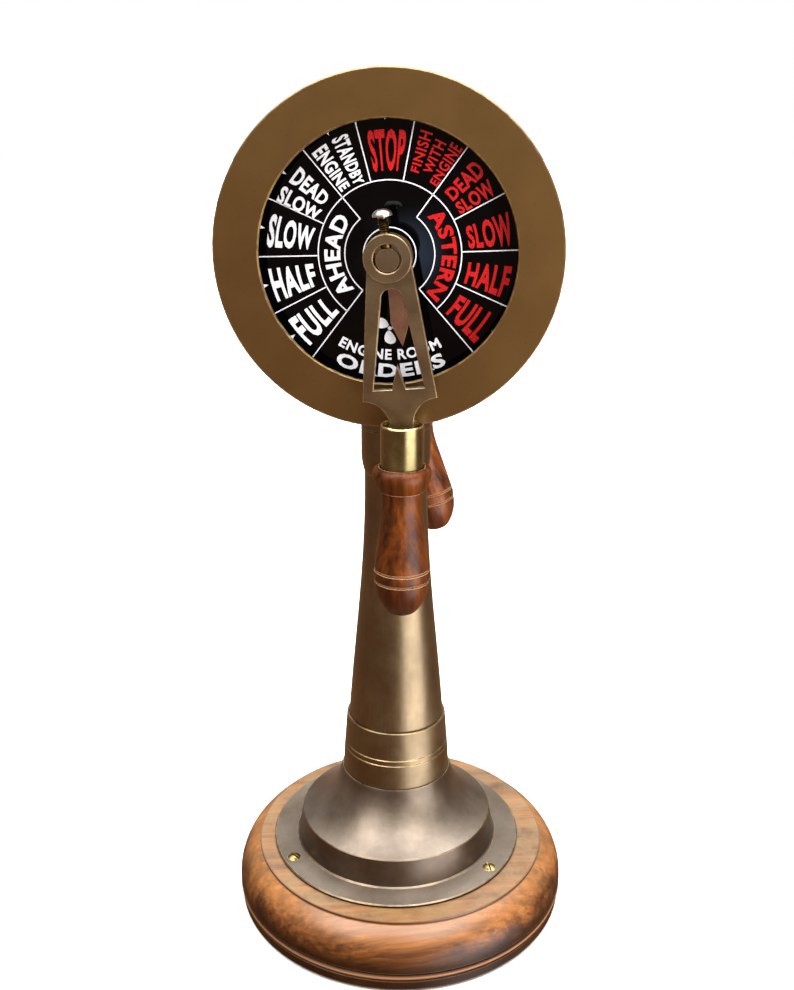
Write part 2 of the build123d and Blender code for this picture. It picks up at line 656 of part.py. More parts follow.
for word, side in SIDES.items():
    plate_plane = lever_plane(side, PLATE_BACK)
    down_grip = grip_plane(side)
    grip_axis = Axis(down_grip.origin, down_grip.y_dir)

    with BuildPart() as lever_frame:
        with BuildSketch(plate_plane):
            with BuildLine():
                Polyline((0, -TAB_END), (TAB_HALF_WIDTH, -TAB_END), (TAB_HALF_WIDTH, -85.5))
                ThreePointArc((TAB_HALF_WIDTH, -85.5), (10.1, -76.6), LEVER_TIP)
                Polyline(LEVER_TIP, (11.4, -5.0), (0, -5.0))
                mirror(about=Plane.YZ)
            make_face()
            Circle(BOSS_RADIUS)
            with BuildLine():
                ThreePointArc((0, WINDOW_TOP), (4.2, WINDOW_TOP - 1.8), WINDOW_SHOULDER)
                Polyline(
                    WINDOW_SHOULDER,
                    WINDOW_CORNER,
                    (SPIKE_HALF_WIDTH, WINDOW_CORNER[1]),
                    (0, SPIKE_TIP),
                )
                mirror(about=Plane.YZ)
            make_face(mode=Mode.SUBTRACT)
            Circle(BORE_RADIUS, mode=Mode.SUBTRACT)
        extrude(amount=PLATE_THICKNESS)
        front_face = faces().sort_by(Axis(plate_plane.origin, plate_plane.z_dir))[-1]
        chamfer(front_face.edges(), PLATE_EDGE)
    save(lever_frame, f"{word}_lever_frame")

    with BuildPart() as lever_boss:
        with BuildSketch(plate_plane.offset(PLATE_THICKNESS)):
            Circle(BOSS_RADIUS)
            Circle(BORE_RADIUS, mode=Mode.SUBTRACT)
        extrude(amount=BOSS_END - PLATE_BACK - PLATE_THICKNESS)
        front_face = faces().sort_by(Axis(plate_plane.origin, plate_plane.z_dir))[-1]
        chamfer(front_face.edges(), 0.4)
        up_screw = spun(lever_plane(side, SCREW_DEPTH), SCREW_LEAN)
        screw_axis = Axis(up_screw.origin, up_screw.y_dir)
        turn_ring(up_screw, screw_axis, 0, SCREW_RADIUS, 0, BOSS_RADIUS + 2.0, mode=Mode.SUBTRACT)
    save(lever_boss, f"{word}_lever_boss")

    with BuildPart() as set_screw:
        tip = FLAT_HEIGHT + 0.05
        thread_start = BOSS_RADIUS + 0.4
        turns = int((SCREW_HEAD_BASE - thread_start) / THREAD_PITCH)
        outline = [(0, tip), (SCREW_RADIUS - 0.5, tip), (SCREW_RADIUS, tip + 0.5)]
        for turn_number in range(turns):
            crest = thread_start + turn_number * THREAD_PITCH
            outline.append((SCREW_RADIUS, crest))
            outline.append((SCREW_ROOT_RADIUS, crest + THREAD_PITCH / 2))
        outline += [(SCREW_RADIUS, SCREW_HEAD_BASE), (0, SCREW_HEAD_BASE)]
        turn(outline, up_screw, screw_axis)
        with BuildSketch(up_screw):
            with BuildLine():
                shoulder = (SCREW_HEAD_WIDTH, SCREW_HEAD_BASE + 1.0)
                head_top = (0, SCREW_HEAD_BASE + SCREW_HEAD_HEIGHT)
                Polyline((0, SCREW_HEAD_BASE), (SCREW_HEAD_WIDTH, SCREW_HEAD_BASE), shoulder)
                ThreePointArc(shoulder, (3.4, SCREW_HEAD_BASE + 2.75), head_top)
                Line(head_top, (0, SCREW_HEAD_BASE))
            make_face()
        revolve(axis=screw_axis)
        crown = up_screw.from_local_coords(Vector(0, SCREW_HEAD_BASE + SCREW_HEAD_HEIGHT, 0))
        with BuildSketch(Plane(origin=crown, x_dir=up_screw.x_dir, z_dir=up_screw.y_dir)):
            Rectangle(4.6, 1.1, rotation=40.0)
            Rectangle(4.6, 1.1, rotation=130.0)
        extrude(amount=-1.8, mode=Mode.SUBTRACT)
    save(set_screw, f"{word}_set_screw")

    with BuildPart() as ferrule:
        turn(
            [
                (0, -FERRULE_LIP),
                (FERRULE_RADIUS - 1.1, -FERRULE_LIP),
                (FERRULE_RADIUS - 0.8, 0),
                (FERRULE_RADIUS - 0.3, 0),
                (FERRULE_RADIUS, -0.3),
                (FERRULE_RADIUS, GRIP_FLOOR),
                (FERRULE_RADIUS - FERRULE_WALL, GRIP_FLOOR),
                (FERRULE_RADIUS - FERRULE_WALL, -FERRULE_LIP - 2.5),
                (0, -FERRULE_LIP - 2.5),
            ],
            down_grip,
            grip_axis,
        )
        with BuildSketch(plate_plane):
            with Locations((0, -FERRULE_TOP)):
                Rectangle(2 * TAB_HALF_WIDTH, 2 * (TAB_END - FERRULE_TOP))
        extrude(amount=PLATE_THICKNESS, mode=Mode.SUBTRACT)
    save(ferrule, f"{word}_ferrule")

    with BuildPart() as tang:
        turn_ring(down_grip, grip_axis, 0, TANG_RADIUS, TANG_TOP, TANG_BOTTOM)
    save(tang, f"{word}_tang")

    with BuildPart() as grip:
        spigot = FERRULE_RADIUS - FERRULE_WALL
        with BuildSketch(down_grip):
            with BuildLine():
                Polyline(
                    (TANG_RADIUS, TANG_TOP - 2.0),
                    (spigot, TANG_TOP - 2.0),
                    (spigot, GRIP_FLOOR),
                    (12.0, GRIP_FLOOR),
                    (12.0, GRIP_RIM - 0.3),
                    (12.5, GRIP_RIM),
                )
                Spline(
                    (12.5, GRIP_RIM),
                    (15.1, GRIP_RIM - 1.7),
                    (15.7, GRIP_RIM - 4.3),
                    (14.3, GRIP_RIM - 9.3),
                    (12.2, GRIP_RIM - 13.2),
                )
                Polyline((12.2, GRIP_RIM - 13.2), (11.6, GRIP_RIM - 13.5), (11.5, GRIP_RIM - 14.6))
                Spline(
                    (11.5, GRIP_RIM - 14.6),
                    (11.0, GRIP_RIM - 19.5),
                    (12.0, GRIP_RIM - 32.5),
                    (14.0, GRIP_RIM - 48.5),
                    (15.0, GRIP_RIM - 57.2),
                )
                Polyline((15.0, GRIP_RIM - 57.2), (14.3, GRIP_RIM - 57.8), (15.1, GRIP_RIM - 58.4))
                ThreePointArc(
                    (15.1, GRIP_RIM - 58.4), (15.4, GRIP_RIM - 61.0), (15.1, GRIP_RIM - 63.5)
                )
                Polyline((15.1, GRIP_RIM - 63.5), (14.3, GRIP_RIM - 64.1), (15.0, GRIP_RIM - 64.7))
                Spline(
                    (15.0, GRIP_RIM - 64.7),
                    (13.7, GRIP_RIM - 72.7),
                    (9.6, GRIP_RIM - 80.6),
                    (0, GRIP_BOTTOM),
                    tangents=((-0.02, -1), (-1, 0)),
                )
                Polyline(
                    (0, GRIP_BOTTOM),
                    (0, TANG_BOTTOM),
                    (TANG_RADIUS, TANG_BOTTOM),
                    (TANG_RADIUS, TANG_TOP - 2.0),
                )
            make_face()
        revolve(axis=grip_axis)
    save(grip, f"{word}_grip")

# ---- reply pointers, one loose on the nose of each bush ------------------------------------
SLEEVE_BORE = BUSH_NOSE_RADIUS + RUNNING_CLEARANCE
SLEEVE_RADIUS = 9.3
SLEEVE_BACK = DIAL_DEPTH + 0.5
SLEEVE_END = 51.4
LEAF_THICKNESS = 1.4
LEAF_ROOT_RADIUS = 10.4
CLIP_RADIUS = 9.5
CLIP_THICKNESS = 0.7

for word, side in SIDES.items():
    with BuildPart() as pointer_sleeve:
        turn_ring(section_plane(side), HUB_AXIS, SLEEVE_BORE, SLEEVE_RADIUS, SLEEVE_BACK, SLEEVE_END)
    save(pointer_sleeve, f"{word}_pointer_sleeve")

    with BuildPart() as reply_pointer:
        with BuildSketch(spun(facing_plane(side, POINTER_DEPTH), side * POINTER_ANGLE)):
            with BuildLine():
                Line((0, -6.0), (4.2, -6.0))
                Spline((4.2, -6.0), (4.4, -24.0), (4.9, -35.5))
                Spline((4.9, -35.5), (2.9, -41.0), (0, -POINTER_LENGTH))
                mirror(about=Plane.YZ)
            make_face()
            Circle(LEAF_ROOT_RADIUS)
            Circle(SLEEVE_RADIUS, mode=Mode.SUBTRACT)
        extrude(amount=LEAF_THICKNESS)
    save(reply_pointer, f"{word}_reply_pointer")

    with BuildPart() as retaining_ring:
        turn_ring(
            section_plane(side),
            HUB_AXIS,
            BUSH_NOSE_RADIUS,
            CLIP_RADIUS,
            SLEEVE_END + END_PLAY,
            SLEEVE_END + END_PLAY + CLIP_THICKNESS,
        )
    save(retaining_ring, f"{word}_retaining_ring")
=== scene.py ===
"""Looks of the ship engine telegraph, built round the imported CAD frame. Metres, +Z up."""
import math
import random

import bmesh
import bpy
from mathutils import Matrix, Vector


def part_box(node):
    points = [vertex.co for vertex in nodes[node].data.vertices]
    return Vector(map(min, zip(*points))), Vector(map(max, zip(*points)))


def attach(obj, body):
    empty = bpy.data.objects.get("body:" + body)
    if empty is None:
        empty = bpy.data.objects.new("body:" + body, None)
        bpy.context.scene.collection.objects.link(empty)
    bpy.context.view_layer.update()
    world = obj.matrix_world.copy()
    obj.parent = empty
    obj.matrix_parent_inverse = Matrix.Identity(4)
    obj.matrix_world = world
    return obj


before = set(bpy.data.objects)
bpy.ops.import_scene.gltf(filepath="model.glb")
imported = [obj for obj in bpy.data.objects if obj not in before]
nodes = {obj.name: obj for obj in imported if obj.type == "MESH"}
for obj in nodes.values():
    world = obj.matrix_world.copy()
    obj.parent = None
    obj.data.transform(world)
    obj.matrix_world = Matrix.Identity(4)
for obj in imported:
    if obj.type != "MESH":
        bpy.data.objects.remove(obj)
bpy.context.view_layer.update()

SIDES = {"front": 1, "rear": -1}


def middle(node):
    """Centre of a CAD node's box."""
    return sum(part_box(node), Vector()) / 2


HUB = middle("spindle")
DIAL_CENTRE = middle("front_dial")
DIAL_FACE = -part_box("front_dial")[0].y
GRIP_LEAN = {"front": 0.0, "rear": 12.3}      # degrees to the right of straight down, from the front
SCREW_SHANK_END = 0.0204    # spindle axis to the underside of a set screw's head

# The wooden base: heights above the ground and radii.
BASE = middle("wooden_base")
BASE_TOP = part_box("wooden_base")[1].z
STEP_RADIUS = 0.0916        # edge of the flat top
STEP_FOOT = (0.0372, 0.0376)
PAINTED_LIGHT_SHOULDER = (0.024, 0.036)   # painted light: where the shoulder grows paler towards its top
PAINTED_SHADE_HEIGHTS = (0.015, 0.034)     # painted shade: below this the wood is nearly black, and above it clear
GLOSS = (0.016, 0.034)      # the same for its polish
BEAD_HEIGHT = 0.0106        # middle of the bead round its foot
BEAD_HALF_WIDTH = 0.0015
BEAD_RADII = (0.1030, 0.1040)
CREASE_HALF_WIDTH = 0.0010

# Depths that bump stands for.
TOOL_MARKS = 0.0004
FINE_MARKS = 0.0003
FELT_PILE = 0.0006


# ---- node trees and materials --------------------------------------------------------------
def srgb(code):
    """A linear colour from a hex code."""
    channels = [int(code[i:i + 2], 16) / 255 for i in (0, 2, 4)]
    return tuple(c / 12.92 if c <= 0.04045 else ((c + 0.055) / 1.055) ** 2.4 for c in channels) + (1.0,)


class Tree:
    """Short ways to add nodes to a node tree."""

    def __init__(self, tree):
        self.tree = tree

    def add(self, kind, inputs=None, **settings):
        node = self.tree.nodes.new(kind)
        for key, value in settings.items():
            setattr(node, key, value)
        for key, value in (inputs or {}).items():
            if isinstance(value, bpy.types.NodeSocket):
                self.tree.links.new(value, node.inputs[key])
            else:
                node.inputs[key].default_value = value
        return node

    def split(self, vector):
        return self.add("ShaderNodeSeparateXYZ", {0: vector}).outputs

    def dot(self, a, b):
        return self.add("ShaderNodeVectorMath", {0: a, 1: b}, operation="DOT_PRODUCT").outputs["Value"]

    def fade(self, value, low, high, start=0.0, end=1.0):
        """From start to end, smoothly, as a value goes from low to high."""
        values = {"Value": value, "From Min": low, "From Max": high, "To Min": start, "To Max": end}
        return self.add("ShaderNodeMapRange", values, interpolation_type="SMOOTHSTEP").outputs[0]

    def mix(self, factor, a, b, blend="MIX"):
        values = {0: factor, 6: a, 7: b}
        return self.add("ShaderNodeMix", values, data_type="RGBA", blend_type=blend).outputs[2]


class Recipe(Tree):
    """A material with one Principled shader. Its sockets are named with _ in place of a space."""

    def __init__(self, name, **sockets):
        self.material = bpy.data.materials.new(name)
        self.material.use_nodes = True
        super().__init__(self.material.node_tree)
        self.shader = self.tree.nodes["Principled BSDF"]
        self.point = self.add("ShaderNodeTexCoord").outputs["Object"]
        self.colour = None
        self.set(**sockets)

    def set(self, **sockets):
        for socket, value in sockets.items():
            self.shader.inputs[socket.replace("_", " ")].default_value = value

    def give(self, socket, value):
        self.tree.links.new(value, self.shader.inputs[socket])

    def paint(self, colour):
        self.colour = colour
        self.give("Base Color", colour)

    def math(self, operation, a, b=0.0):
        return self.add("ShaderNodeMath", {0: a, 1: b}, operation=operation).outputs[0]

    def product(self, first, *others):
        for other in others:
            first = self.math("MULTIPLY", first, other)
        return first

    def blend(self, a, share, b):
        """A share of a, and the rest of b."""
        return self.math("ADD", self.product(a, share), self.product(b, 1 - share))

    def radius(self, across, along):
        """Distance from an axis, from the two measures across it."""
        squares = self.math("ADD", self.math("POWER", across, 2.0), self.math("POWER", along, 2.0))
        return self.math("SQRT", squares)

    def placed(self, vector, location=(0, 0, 0), rotation=(0, 0, 0), scale=(1, 1, 1)):
        values = {"Vector": vector, "Location": location, "Rotation": rotation, "Scale": scale}
        return self.add("ShaderNodeMapping", values).outputs[0]

    def noise(self, vector, scale, detail=2.0, roughness=0.5, distortion=0.0):
        values = {"Vector": vector, "Scale": scale, "Detail": detail, "Roughness": roughness,
                  "Distortion": distortion}
        return self.add("ShaderNodeTexNoise", values).outputs[0]

    def line_noise(self, value, scale, detail):
        values = {"W": value, "Scale": scale, "Detail": detail}
        return self.add("ShaderNodeTexNoise", values, noise_dimensions="1D").outputs[0]

    def drawn_noise(self, vector, scale, detail, roughness=0.5, distortion=0.0, **placing):
        """Noise drawn out along the axes that have the smaller scales."""
        return self.noise(self.placed(vector, scale=scale, **placing), 1.0, detail, roughness, distortion)

    def tint(self, factor, colour, code):
        """A colour with a hex code's colour laid over it."""
        return self.mix(factor, colour, srgb(code))

    def ramp(self, value, *stops):
        node = self.add("ShaderNodeValToRGB", {0: value})
        elements = node.color_ramp.elements
        while len(elements) < len(stops):
            elements.new(0.5)
        for element, (place, colour) in zip(elements, stops):
            element.position = place
            element.color = colour
        return node.outputs[0]

    def shades(self, value, *stops):
        """A colour ramp whose stops are hex codes."""
        return self.ramp(value, *((place, srgb(code)) for place, code in stops))

    def bump(self, height, strength, distance):
        values = {"Height": height, "Strength": strength, "Distance": distance}
        self.give("Normal", self.add("ShaderNodeBump", values).outputs[0])

    def edges(self, radius, low=0.004, high=0.05):
        """1 along edges, found from how far a rounded normal leans away from the true one."""
        rounded = self.add("ShaderNodeBevel", {"Radius": radius}, samples=4).outputs[0]
        agree = self.dot(rounded, self.add("ShaderNodeNewGeometry").outputs["Normal"])
        return self.fade(self.math("SUBTRACT", 1.0, agree), low, high)

    def near(self, value, place, half_width):
        """1 where a value is at a place, falling to 0 half a width away."""
        away = self.math("ABSOLUTE", self.math("SUBTRACT", value, place))
        return self.fade(away, 0.0, half_width, 1.0, 0.0)


def brass(name, dark, light, roughness, worn="e8c58a", wear=0.55, edge=0.0007, clouds=28.0, grit=0.03,
          turned=0.0, drawn=False, smudges=1.0):
    """Aged brass: cloudy tarnish, rubbed edges, faint specks, and lathe, drawing or polishing lines."""
    recipe = Recipe(name, Metallic=1.0, Coat_Weight=0.25, Coat_Roughness=0.18)
    point = recipe.point
    cloud = recipe.noise(point, clouds, 4.0, 0.55, 0.6)
    mottle = recipe.noise(point, clouds * 14, 3.0, 0.6)
    colour = recipe.shades(recipe.blend(cloud, 0.8, mottle), (0.36, dark), (0.64, light))
    specks = recipe.fade(recipe.noise(point, 900.0, 1.0), 0.72, 0.78, 0.0, 0.35)
    colour = recipe.tint(specks, colour, "3a2716")
    if turned:
        recipe.set(Anisotropic=turned, Anisotropic_Rotation=0.25)
        around = recipe.add("ShaderNodeTangent", axis="Z", direction_type="RADIAL").outputs[0]
        recipe.give("Tangent", around)
        wander = recipe.product(recipe.noise(point, 6.0), 0.004)
        lines = recipe.line_noise(recipe.math("ADD", recipe.split(point)[2], wander), 1400.0, 3.0)
    elif drawn:
        lines = recipe.drawn_noise(point, (700, 700, 9), 3.0)
    else:
        lines = recipe.drawn_noise(point, (60, 900, 1500), 3.0, rotation=(0.3, 0.5, 0.2))
    dark_lines = recipe.fade(lines, 0.3, 0.7, 0.0, 0.35 if drawn else 0.10)
    colour = recipe.tint(dark_lines, colour, dark)
    patchy = recipe.fade(recipe.noise(point, 160.0), 0.3, 0.6)
    recipe.paint(recipe.tint(recipe.product(recipe.edges(edge), patchy, wear), colour, worn))
    smoothest, roughest = roughness - 0.06 * smudges, roughness + 0.09 * smudges
    smudge = recipe.noise(point, 45.0, 3.0, 0.6)
    recipe.give("Roughness", recipe.fade(smudge, 0.25, 0.75, smoothest, roughest))
    recipe.bump(recipe.math("ADD", lines, recipe.noise(point, 700.0)), grit, TOOL_MARKS)
    return recipe


def wood(name, pale, warm, dark, placing, coarse=(2.4, 46.0, 46.0), gloss=0.8):
    """Solid wood with its grain along X once placed: flowing bands, dark streaks, lines, fibres and pores."""
    recipe = Recipe(name, Coat_Weight=gloss, Coat_Roughness=0.3, Specular_IOR_Level=0.15)
    point = recipe.placed(recipe.point, **placing)
    flow = recipe.drawn_noise(point, coarse, 5.0, 0.6, 0.5)
    fibre = recipe.drawn_noise(point, (14, 420, 420), 4.0, 0.6)
    tone = recipe.blend(flow, 0.68, fibre)
    colour = recipe.shades(tone, (0.39, dark), (0.53, warm), (0.67, pale))
    streaks = recipe.drawn_noise(point, (2.2, 75.0, 75.0), 3.0, 0.5, 0.4, location=(0.3, 0.1, 0.2))
    colour = recipe.tint(recipe.fade(streaks, 0.54, 0.68, 0.0, 0.6), colour, dark)
    lines = recipe.drawn_noise(point, (coarse[0] * 2.2, 210.0, 210.0), 2.0, location=(0.1, 0.4, 0.7))
    colour = recipe.tint(recipe.fade(lines, 0.53, 0.66, 0.0, 0.5), colour, dark)
    pores = recipe.fade(recipe.drawn_noise(point, (90, 1500, 1500), 2.0), 0.60, 0.72, 0.0, 0.5)
    recipe.paint(recipe.tint(pores, colour, dark))
    recipe.give("Roughness", recipe.fade(fibre, 0.3, 0.7, 0.38, 0.54))
    recipe.bump(recipe.math("SUBTRACT", fibre, recipe.product(pores, 0.8)), 0.12, TOOL_MARKS)
    return recipe


def base_wood():
    """The wooden base: rough and greyish on its flat top, glossy on its shoulder, with painted light on its
    upper shoulder, painted shade where the flat top meets the step, a painted highlight along its bead, and
    painted shade low down.
    """
    placing = {"location": (0.02, -0.035, 0.075), "rotation": (0.0, math.radians(4), math.radians(-10))}
    recipe = wood("base_wood", "b8793c", "8a5022", "341706", placing)
    x, y, z = recipe.split(recipe.point)
    radius = recipe.radius(recipe.math("SUBTRACT", x, BASE.x), y)
    rough = recipe.fade(recipe.noise(recipe.point, 70.0, 5.0, 0.7), 0.3, 0.7, 0.25, 0.8)
    on_top = recipe.fade(z, BASE_TOP - 0.0012, BASE_TOP - 0.0004)
    colour = recipe.tint(recipe.product(on_top, rough), recipe.colour, "8a6e48")
    # painted shade: a dark line where the flat top meets the step
    crease_shade = recipe.near(radius, STEP_RADIUS, CREASE_HALF_WIDTH)
    by_step = recipe.fade(z, BASE_TOP - 0.0045, BASE_TOP - 0.002)
    colour = recipe.tint(recipe.product(crease_shade, by_step, 0.8), colour, "2a1207")
    # painted light: the upper shoulder tinted paler, up to the step
    shoulder = recipe.fade(z, *PAINTED_LIGHT_SHOULDER, 0.0, 0.28)
    below_step = recipe.fade(z, *STEP_FOOT, 1.0, 0.0)
    colour = recipe.tint(recipe.product(shoulder, below_step), colour, "b98550")
    # painted shade: the wood low down darkened almost to black
    colour = recipe.tint(recipe.fade(z, *PAINTED_SHADE_HEIGHTS, 0.95, 0.0), colour, "1e0c03")
    # painted highlight: a pale line along the bead round the foot
    bead = recipe.near(z, BEAD_HEIGHT, BEAD_HALF_WIDTH)
    out = recipe.fade(radius, *BEAD_RADII)
    colour = recipe.tint(recipe.product(bead, out, 0.7), colour, "b8835a")
    recipe.give("Coat Weight", recipe.fade(z, *GLOSS, 0.08, 0.9))
    rubbed = recipe.product(recipe.edges(0.0009, 0.01, 0.09), 0.4)
    recipe.paint(recipe.tint(rubbed, colour, "a8703f"))
    return recipe


def grip_wood(word, pale, warm, dark):
    """Turned grip with its grain down its own axis, painted shade towards its end, and pale at its rim."""
    low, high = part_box(f"{word}_grip")
    down = math.pi / 2 + math.radians(GRIP_LEAN[word])
    placing = {"location": (0.37, 0.031, 0.009 * SIDES[word]), "rotation": (0.0, down, 0.4)}
    recipe = wood(f"grip_wood_{word}", pale, warm, dark, placing, coarse=(7.0, 55.0, 55.0), gloss=0.2)
    z = recipe.split(recipe.point)[2]
    # painted shade: the wood darkened towards the grip's lower end
    end = recipe.fade(z, low.z, low.z + 0.04, 0.65, 0.0)
    colour = recipe.tint(end, recipe.colour, "3a1808")
    rim = recipe.fade(z, high.z - 0.006, high.z - 0.0006, 0.0, 0.8)
    colour = recipe.tint(rim, colour, "cf9c68")
    worn = recipe.product(recipe.edges(0.0005, 0.01, 0.06), 0.9)
    recipe.paint(recipe.tint(worn, colour, "ecbe8c"))
    return recipe


def foot_brass():
    """The spun foot, greyer than the column, with painted shade that turns it brown where it is steep."""
    recipe = brass("foot_brass", "6d6053", "877a6d", 0.43, turned=0.5, clouds=20.0, grit=0.02)
    # painted shade: the steeper the face, the darker and browner
    upward = recipe.split(recipe.add("ShaderNodeNewGeometry").outputs["Normal"])[2]
    recipe.paint(recipe.tint(recipe.fade(upward, 0.0, 0.5, 0.9, 0.0), recipe.colour, "35220f"))
    return recipe


def dial_black():
    recipe = Recipe("dial_black", Specular_IOR_Level=0.14)
    dust = recipe.noise(recipe.point, 60.0, 4.0, 0.6)
    recipe.paint(recipe.shades(dust, (0.4, "020203"), (0.8, "050507")))
    recipe.give("Roughness", recipe.fade(dust, 0.3, 0.8, 0.04, 0.08))
    return recipe


def enamel(name, deep, bright):
    """Paint of the dial's printing."""
    recipe = Recipe(name, Specular_IOR_Level=0.5)
    grain = recipe.noise(recipe.point, 1800.0)
    recipe.paint(recipe.shades(grain, (0.35, deep), (0.6, bright)))
    recipe.give("Roughness", recipe.fade(grain, 0.3, 0.7, 0.25, 0.4))
    return recipe


def screw_metal():
    """Set screw: a plated dome on a yellow threaded shank."""
    recipe = Recipe("bright_steel", Metallic=1.0)
    x, _, z = recipe.split(recipe.point)
    out = recipe.radius(recipe.math("SUBTRACT", x, HUB.x), recipe.math("SUBTRACT", z, HUB.z))
    head = recipe.fade(out, SCREW_SHANK_END - 0.0003, SCREW_SHANK_END + 0.0001)
    haze = recipe.noise(recipe.point, 220.0, 3.0)
    plated = recipe.shades(haze, (0.35, "b9b7aa"), (0.65, "dedcd2"))
    bare = recipe.shades(haze, (0.35, "3d2f17"), (0.65, "6c5830"))
    recipe.paint(recipe.mix(head, bare, plated))
    recipe.give("Roughness", recipe.fade(haze, 0.3, 0.7, 0.24, 0.36))
    return recipe


def felt():
    recipe = Recipe("felt", Roughness=1.0, Sheen_Weight=0.4)
    fuzz = recipe.noise(recipe.point, 1400.0, 4.0, 0.7)
    recipe.paint(recipe.shades(fuzz, (0.3, "10241b"), (0.7, "1f4030")))
    recipe.bump(fuzz, 0.6, FELT_PILE)
    return recipe


def works_steel():
    recipe = Recipe("works_steel", Metallic=1.0)
    haze = recipe.noise(recipe.point, 220.0, 3.0)
    recipe.paint(recipe.shades(haze, (0.35, "6f7276"), (0.65, "9a9da0")))
    recipe.give("Roughness", recipe.fade(haze, 0.3, 0.7, 0.30, 0.43))
    recipe.bump(recipe.noise(recipe.point, 1500.0), 0.06, FINE_MARKS)
    return recipe


SLOT_RECIPES = {
    "felt": felt(),
    "base_wood": base_wood(),
    "works_steel": works_steel(),
    "bright_steel": screw_metal(),
    "works_brass": brass("works_brass", "a07a3c", "c39a55", 0.3),
    "column_brass": brass("column_brass", "695a44", "7e6d53", 0.38, drawn=True, clouds=16.0),
    "drum_brass": brass("drum_brass", "6c5130", "80633c", 0.42, clouds=16.0),
    "bezel_brass": brass("bezel_brass", "765b35", "795d36", 0.42, clouds=9.0, wear=0.7, smudges=0.3),
    "screw_brass": brass("screw_brass", "86703e", "b09a60", 0.28, clouds=90.0),
    "ferrule_brass": brass("ferrule_brass", "6c5f3a", "94865f", 0.27, worn="ffe2a0", wear=0.9, clouds=60.0,
                           turned=0.6),
    "pointer_brass": brass("pointer_brass", "8d6a55", "b28a70", 0.4, clouds=60.0),
    "lever_brass": brass("lever_brass", "725e45", "837254", 0.38, clouds=30.0, worn="e6c796", wear=0.9,
                         edge=0.0005),
    "dial_black": dial_black(),
}
NODE_RECIPES = {
    "front_grip": grip_wood("front", "80430b", "5e2c08", "280f03"),
    "rear_grip": grip_wood("rear", "a86022", "7e4018", "361707"),
    "foot": foot_brass(),
}
WHITE = enamel("dial_white", "d6dae2", "f3f5fb")
RED = enamel("dial_red", "9c060a", "c80e12")

for name, node in nodes.items():
    for slot in node.material_slots:
        recipe = NODE_RECIPES.get(name) or SLOT_RECIPES[slot.material.name.split(".")[0]]
        slot.material = recipe.material


# ---- dial markings: radii in metres, angles in degrees clockwise from the top ----------------
MM = 0.001
MARK_LIFT = 0.00006
MARK_THICKNESS = 0.00008
LINE_WIDTH = 0.0006
ARC_STEP = 3              # degrees
PRINT_OFFSET = {"front": (0.0003, -0.0007), "rear": (0.0004, -0.0003)}
BAND_INNER, BAND_OUTER, LINE_END = 0.0234, 0.0373, 0.0705
HUB_RING = 0.0137
RIM_TIP, RIM_FOOT = 0.0662, 0.0692
TICK_HALF_ANGLE = 0.95
LETTER_GAP = 1.1          # spacing of letters over the typeface's own
CUTS_ALONG, CUTS_UP = 5, 6
THIN, THICK = 0.024, 0.036      # strokes grown by this share of the type's size
THIN_UNDER = 7.0          # degrees between foot and head below which the strokes are thin

SECTOR = 25.6
PRINT_TURN = -2.0         # how far the printing sits round from upright
SECTORS = 6               # on each side, with the top one counted on both

# Each order: its words, the radii where they start and end in millimetres, and the angles of
# their foot and head.
LEFT_ORDERS = [
    ("STANDBY", 63.6, 38.4, -27.8, -19.5), ("ENGINE", 63.6, 39.6, -38.6, -30.4),
    ("DEAD", 63.0, 42.0, -55.2, -46.2), ("SLOW", 64.4, 41.0, -66.2, -57.6),
    ("SLOW", 64.4, 40.4, -87.4, -71.4),
    ("HALF", 64.6, 40.6, -113.2, -97.2),
    ("FULL", 64.6, 40.4, -138.8, -122.8),
]
RIGHT_ORDERS = [
    ("FINISH", 43.0, 63.5, 20.2, 14.2), ("WITH", 45.0, 61.7, 27.8, 22.0), ("ENGINE", 41.5, 64.0, 35.4, 29.2),
    ("DEAD", 42.0, 63.5, 50.4, 41.6), ("SLOW", 41.6, 62.6, 60.8, 52.4),
    ("SLOW", 41.0, 64.0, 85.6, 69.8),
    ("HALF", 41.0, 63.6, 110.4, 95.0),
    ("FULL", 42.0, 64.0, 136.0, 119.0),
]

PROPELLER_RADIUS = 0.0385       # its middle, below the centre of the dial
PROPELLER_HUB = 0.0011
PROPELLER_STEPS = 14
BLADE_MIDDLE, BLADE_REACH = 0.0048, 0.0036
BLADE_HALF_WIDTH, BLADE_SKEW = 0.0023, 0.0006
BLADE_FULLNESS, BLADE_TAPER = 1.25, 0.45    # share of the width at the middle, and its gain towards the tip


def flat_text(words, bold):
    """Words as flat faces in a box from 0 to 1 each way, cut finely enough to bend round a dial."""
    curve = bpy.data.curves.new("lettering", "FONT")
    curve.body = words
    curve.offset = bold
    curve.space_character = LETTER_GAP
    curve.resolution_u = 3
    holder = bpy.data.objects.new("lettering", curve)
    bpy.context.scene.collection.objects.link(holder)
    bpy.context.view_layer.update()
    mesh = bpy.data.meshes.new_from_object(holder.evaluated_get(bpy.context.evaluated_depsgraph_get()))
    bpy.data.objects.remove(holder)
    shape = bmesh.new()
    shape.from_mesh(mesh)
    bpy.data.meshes.remove(mesh)
    bmesh.ops.remove_doubles(shape, verts=shape.verts, dist=1e-5)
    low = Vector([min(v.co[i] for v in shape.verts) for i in range(2)])
    high = Vector([max(v.co[i] for v in shape.verts) for i in range(2)])
    for v in shape.verts:
        v.co = Vector(((v.co.x - low.x) / (high.x - low.x), (v.co.y - low.y) / (high.y - low.y), 0))
    for axis, cuts in ((0, CUTS_ALONG * len(words)), (1, CUTS_UP)):
        for cut in range(1, cuts):
            place, normal = Vector(), Vector()
            place[axis], normal[axis] = cut / cuts, 1
            everything = shape.verts[:] + shape.edges[:] + shape.faces[:]
            bmesh.ops.bisect_plane(shape, geom=everything, dist=1e-6, plane_co=place, plane_no=normal)
    return shape


